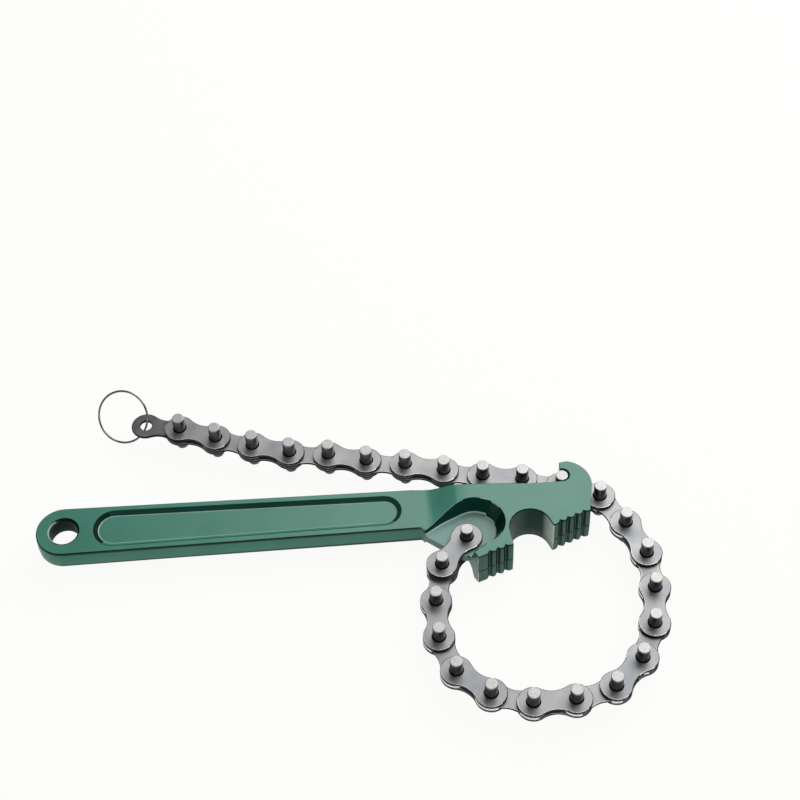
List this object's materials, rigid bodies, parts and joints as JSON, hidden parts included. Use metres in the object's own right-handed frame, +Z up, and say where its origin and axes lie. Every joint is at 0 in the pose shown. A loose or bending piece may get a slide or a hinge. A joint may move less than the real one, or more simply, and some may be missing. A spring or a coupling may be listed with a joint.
{
  "type": "chain oil filter wrench",
  "caption": "Chain wrench for oil filters and pipes: forged handle with a toothed head, a chain pinned to the head and hooked over its nose, and a wire pull ring on the free end.",
  "frame": {"origin": "middle of the box of the wrench lying flat, at its lowest point, the lower face of the head", "axes": "+X along the handle from the hanging hole to the head, +Z up through the thin way of the wrench"},
  "size_m": [0.2452, 0.1594, 0.0187],
  "materials": {
    "green_paint": "satin",
    "plate_steel": "satin",
    "pin_steel": "ground pin ends on a darker side plate",
    "spacer_steel": "dark oiled",
    "end_plate_steel": "dark satin",
    "ring_wire": "bright drawn wire"
  },
  "bodies": {
    "wrench": {"wrench_body": "green_paint"},
    "link_01": {"link_01_cover_plate": "plate_steel", "link_01_pinned_plate": "pin_steel", "spacer_lower": "spacer_steel", "spacer_upper": "spacer_steel"},
    "link_02": {"link_02_inner_plate": "plate_steel"},
    "link_03": {"link_03_cover_plate": "plate_steel", "link_03_pinned_plate": "pin_steel"},
    "link_04": {"link_04_inner_plate": "plate_steel"},
    "link_05": {"link_05_cover_plate": "plate_steel", "link_05_pinned_plate": "pin_steel"},
    "link_06": {"link_06_inner_plate": "plate_steel"},
    "link_07": {"link_07_cover_plate": "plate_steel", "link_07_pinned_plate": "pin_steel"},
    "link_08": {"link_08_inner_plate": "plate_steel"},
    "link_09": {"link_09_cover_plate": "plate_steel", "link_09_pinned_plate": "pin_steel"},
    "link_10": {"link_10_inner_plate": "plate_steel"},
    "link_11": {"link_11_cover_plate": "plate_steel", "link_11_pinned_plate": "pin_steel"},
    "link_12": {"link_12_inner_plate": "plate_steel"},
    "link_13": {"link_13_cover_plate": "plate_steel", "link_13_pinned_plate": "pin_steel"},
    "link_14": {"link_14_inner_plate": "plate_steel"},
    "link_15": {"link_15_cover_plate": "plate_steel", "link_15_pinned_plate": "pin_steel"},
    "link_16": {"link_16_inner_plate": "plate_steel"},
    "link_17": {"link_17_cover_plate": "plate_steel", "link_17_pinned_plate": "pin_steel"},
    "link_18": {"link_18_inner_plate": "plate_steel"},
    "link_19": {"link_19_cover_plate": "plate_steel", "link_19_pinned_plate": "pin_steel"},
    "link_20": {"link_20_inner_plate": "plate_steel"},
    "link_21": {"link_21_cover_plate": "plate_steel", "link_21_pinned_plate": "pin_steel"},
    "link_22": {"link_22_inner_plate": "plate_steel"},
    "link_23": {"link_23_cover_plate": "plate_steel", "link_23_pinned_plate": "pin_steel"},
    "link_24": {"link_24_inner_plate": "plate_steel"},
    "link_25": {"link_25_cover_plate": "plate_steel", "link_25_pinned_plate": "pin_steel"},
    "link_26": {"end_link_plate": "end_plate_steel"},
    "ring": {"pull_ring": "ring_wire"}
  },
  "joints": [
    {"name": "hinge_01", "type": "hinge", "parent": "wrench", "child": "link_01", "pos_m": [0.04652, -0.00019, 0.0091], "axis": [0, 0, 1], "range_deg": [-20, 16]},
    {"name": "hinge_02", "type": "hinge", "parent": "link_01", "child": "link_02", "pos_m": [0.03599, -0.01206, 0.0091], "axis": [0, 0, 1], "range_deg": [-4.6, 5.75]},
    {"name": "hinge_03", "type": "hinge", "parent": "link_02", "child": "link_03", "pos_m": [0.03254, -0.02756, 0.0091], "axis": [0, 0, 1], "range_deg": [-3.5, 4.35]},
    {"name": "hinge_04", "type": "hinge", "parent": "link_03", "child": "link_04", "pos_m": [0.03252, -0.04343, 0.0091], "axis": [0, 0, 1], "range_deg": [-3.95, 4.95]},
    {"name": "hinge_05", "type": "hinge", "parent": "link_04", "child": "link_05", "pos_m": [0.03794, -0.05836, 0.0091], "axis": [0, 0, 1], "range_deg": [-3.85, 4.8]},
    {"name": "hinge_06", "type": "hinge", "parent": "link_05", "child": "link_06", "pos_m": [0.05001, -0.06867, 0.0091], "axis": [0, 0, 1], "range_deg": [-1.9, 2.4]},
    {"name": "hinge_07", "type": "hinge", "parent": "link_06", "child": "link_07", "pos_m": [0.0651, -0.07358, 0.0091], "axis": [0, 0, 1], "range_deg": [-1.25, 1]},
    {"name": "hinge_08", "type": "hinge", "parent": "link_07", "child": "link_08", "pos_m": [0.08097, -0.07331, 0.0091], "axis": [0, 0, 1], "range_deg": [-6.75, 5.4]},
    {"name": "hinge_15", "type": "hinge", "parent": "wrench", "child": "link_15", "pos_m": [0.08615, 0.02223, 0.0091], "axis": [0, 0, 1], "range_deg": [-9.2, 7.35]},
    {"name": "hinge_14", "type": "hinge", "parent": "link_15", "child": "link_14", "pos_m": [0.10078, 0.01605, 0.0091], "axis": [0, 0, 1], "range_deg": [-5.7, 7.1]},
    {"name": "hinge_13", "type": "hinge", "parent": "link_14", "child": "link_13", "pos_m": [0.10932, 0.00266, 0.0091], "axis": [0, 0, 1], "range_deg": [-3.05, 3.8]},
    {"name": "hinge_12", "type": "hinge", "parent": "link_13", "child": "link_12", "pos_m": [0.11553, -0.01194, 0.0091], "axis": [0, 0, 1], "range_deg": [-2.4, 1.95]},
    {"name": "hinge_11", "type": "hinge", "parent": "link_12", "child": "link_11", "pos_m": [0.11651, -0.02779, 0.0091], "axis": [0, 0, 1], "range_deg": [-8.35, 6.7]},
    {"name": "hinge_10", "type": "hinge", "parent": "link_11", "child": "link_10", "pos_m": [0.11417, -0.04349, 0.0091], "axis": [0, 0, 1], "range_deg": [-9.15, 7.3]},
    {"name": "hinge_09", "type": "hinge", "parent": "link_10", "child": "link_09", "pos_m": [0.10759, -0.05794, 0.0091], "axis": [0, 0, 1], "range_deg": [-1.3, 1.6]},
    {"name": "hinge_16", "type": "hinge", "parent": "wrench", "child": "link_16", "pos_m": [0.08615, 0.02223, 0.0091], "axis": [0, 0, 1], "range_deg": [-60, 3]},
    {"name": "hinge_17", "type": "hinge", "parent": "link_16", "child": "link_17", "pos_m": [0.07089, 0.02661, 0.0091], "axis": [0, 0, -1], "range_deg": [-5, 60]},
    {"name": "hinge_18", "type": "hinge", "parent": "link_17", "child": "link_18", "pos_m": [0.05531, 0.02964, 0.0091], "axis": [0, 0, 1], "range_deg": [-60, 11]},
    {"name": "hinge_19", "type": "hinge", "parent": "link_18", "child": "link_19", "pos_m": [0.03991, 0.03348, 0.0091], "axis": [0, 0, -1], "range_deg": [-14, 60]},
    {"name": "hinge_20", "type": "hinge", "parent": "link_19", "child": "link_20", "pos_m": [0.02461, 0.03772, 0.0091], "axis": [0, 0, 1], "range_deg": [-60, 17]},
    {"name": "hinge_21", "type": "hinge", "parent": "link_20", "child": "link_21", "pos_m": [0.00903, 0.04075, 0.0091], "axis": [0, 0, -1], "range_deg": [-20, 60]},
    {"name": "hinge_22", "type": "hinge", "parent": "link_21", "child": "link_22", "pos_m": [-0.00627, 0.04499, 0.0091], "axis": [0, 0, 1], "range_deg": [-60, 22]},
    {"name": "hinge_23", "type": "hinge", "parent": "link_22", "child": "link_23", "pos_m": [-0.02197, 0.04734, 0.0091], "axis": [0, 0, -1], "range_deg": [-30, 60]},
    {"name": "hinge_24", "type": "hinge", "parent": "link_23", "child": "link_24", "pos_m": [-0.03707, 0.05224, 0.0091], "axis": [0, 0, 1], "range_deg": [-60, 40]},
    {"name": "hinge_25", "type": "hinge", "parent": "link_24", "child": "link_25", "pos_m": [-0.05212, 0.05728, 0.0091], "axis": [0, 0, -1], "range_deg": [-50, 60]},
    {"name": "hinge_26", "type": "hinge", "parent": "link_25", "child": "link_26", "pos_m": [-0.06689, 0.0631, 0.0091], "axis": [0, 0, 1], "range_deg": [-60, 60]},
    {"name": "hinge_ring", "type": "hinge", "parent": "link_26", "child": "ring", "pos_m": [-0.08106, 0.06663, 0.0091], "axis": [-0.454, -0.891, 0], "range_deg": [-40, 40]}
  ],
  "couplings": [
    {"joint": "hinge_02", "follows": "hinge_01", "ratio": -0.287},
    {"joint": "hinge_03", "follows": "hinge_01", "ratio": -0.217},
    {"joint": "hinge_04", "follows": "hinge_01", "ratio": -0.246},
    {"joint": "hinge_05", "follows": "hinge_01", "ratio": -0.238},
    {"joint": "hinge_06", "follows": "hinge_01", "ratio": -0.118},
    {"joint": "hinge_07", "follows": "hinge_01", "ratio": 0.06},
    {"joint": "hinge_08", "follows": "hinge_01", "ratio": 0.337},
    {"joint": "hinge_15", "follows": "hinge_01", "ratio": 0.458},
    {"joint": "hinge_14", "follows": "hinge_01", "ratio": -0.354},
    {"joint": "hinge_13", "follows": "hinge_01", "ratio": -0.188},
    {"joint": "hinge_12", "follows": "hinge_01", "ratio": 0.119},
    {"joint": "hinge_11", "follows": "hinge_01", "ratio": 0.416},
    {"joint": "hinge_10", "follows": "hinge_01", "ratio": 0.456},
    {"joint": "hinge_09", "follows": "hinge_01", "ratio": -0.079}
  ]
}
